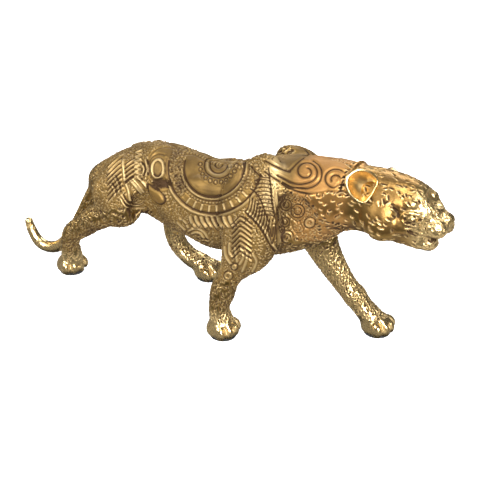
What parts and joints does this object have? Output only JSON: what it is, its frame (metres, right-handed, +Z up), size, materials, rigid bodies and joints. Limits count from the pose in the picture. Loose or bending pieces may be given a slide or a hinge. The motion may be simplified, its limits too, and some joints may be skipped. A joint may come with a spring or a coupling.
{
  "type": "hood ornament",
  "caption": "Prowling leopard mascot in engraved antique gold, striding on four paws with lowered head and a tail that curls up at its tip.",
  "frame": {"origin": "On the ground under the middle of the figure's bounding box", "axes": "+X the way the nose points, +Y the animal's left, +Z up; millimetres in the source, metres here"},
  "size_m": [0.2066, 0.0502, 0.084],
  "materials": {
    "antique_gold": "antique gold, bright on the high spots and dark brown in the engraving",
    "steel_pin": "plain turned steel",
    "plain_brass": "plain turned brass",
    "pad_rubber": "matt black"
  },
  "bodies": {
    "root": {"body_casting": "antique_gold", "head_casting": "antique_gold", "right_ear": "antique_gold", "left_ear": "antique_gold", "right_front_leg": "antique_gold", "left_front_leg": "antique_gold", "right_hind_leg": "antique_gold", "left_hind_leg": "antique_gold", "tail_casting": "antique_gold", "leg_pegs": "steel_pin", "neck_pin": "steel_pin", "tail_pin": "steel_pin", "core_plugs": "plain_brass", "paw_inserts": "plain_brass", "right_front_pad": "pad_rubber", "left_front_pad": "pad_rubber", "right_hind_pad": "pad_rubber", "left_hind_pad": "pad_rubber"}
  },
  "joints": []
}
